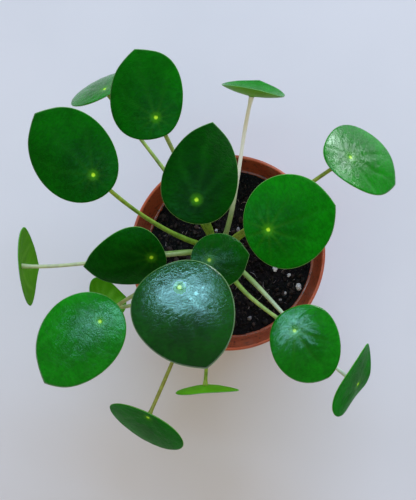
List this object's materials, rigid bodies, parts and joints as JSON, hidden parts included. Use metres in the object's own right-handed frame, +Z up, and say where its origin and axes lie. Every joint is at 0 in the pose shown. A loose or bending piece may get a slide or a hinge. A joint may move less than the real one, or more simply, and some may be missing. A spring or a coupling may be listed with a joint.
{
  "type": "potted chinese money plant",
  "caption": "House plant with round peltate leaves on long stalks from one short stem, growing in a round plastic nursery pot that stands on its flat base.",
  "frame": {"origin": "centre of the pot's underside, on the surface that it stands on", "axes": "+Z up along the pot's axis; the front of the plant, with the lowest leaves nearest, faces -Y"},
  "size_m": [0.2269, 0.2409, 0.1855],
  "materials": {
    "pot": "terracotta-coloured injection-moulded plastic, satin, with light water marks",
    "soil": "dark moist potting soil, matt and crumbly",
    "stem": "brown-green stem with leaf scars",
    "blade": "thick glossy green leaf, paler below",
    "stalk": "smooth pale green leaf stalk, partly brownish"
  },
  "bodies": {
    "root": {"pot": "pot", "soil": "soil", "stem": "stem", "leaf_01_blade": "blade", "leaf_01_stalk": "stalk", "leaf_02_blade": "blade", "leaf_02_stalk": "stalk", "leaf_03_blade": "blade", "leaf_03_stalk": "stalk", "leaf_04_blade": "blade", "leaf_04_stalk": "stalk", "leaf_05_blade": "blade", "leaf_05_stalk": "stalk", "leaf_06_blade": "blade", "leaf_06_stalk": "stalk", "leaf_07_blade": "blade", "leaf_07_stalk": "stalk", "leaf_08_blade": "blade", "leaf_08_stalk": "stalk", "leaf_09_blade": "blade", "leaf_09_stalk": "stalk", "leaf_10_blade": "blade", "leaf_10_stalk": "stalk", "leaf_11_blade": "blade", "leaf_11_stalk": "stalk", "leaf_12_blade": "blade", "leaf_12_stalk": "stalk", "leaf_13_blade": "blade", "leaf_13_stalk": "stalk", "leaf_14_blade": "blade", "leaf_14_stalk": "stalk", "leaf_15_blade": "blade", "leaf_15_stalk": "stalk", "leaf_16_blade": "blade", "leaf_16_stalk": "stalk", "leaf_17_blade": "blade", "leaf_17_stalk": "stalk"}
  },
  "joints": []
}
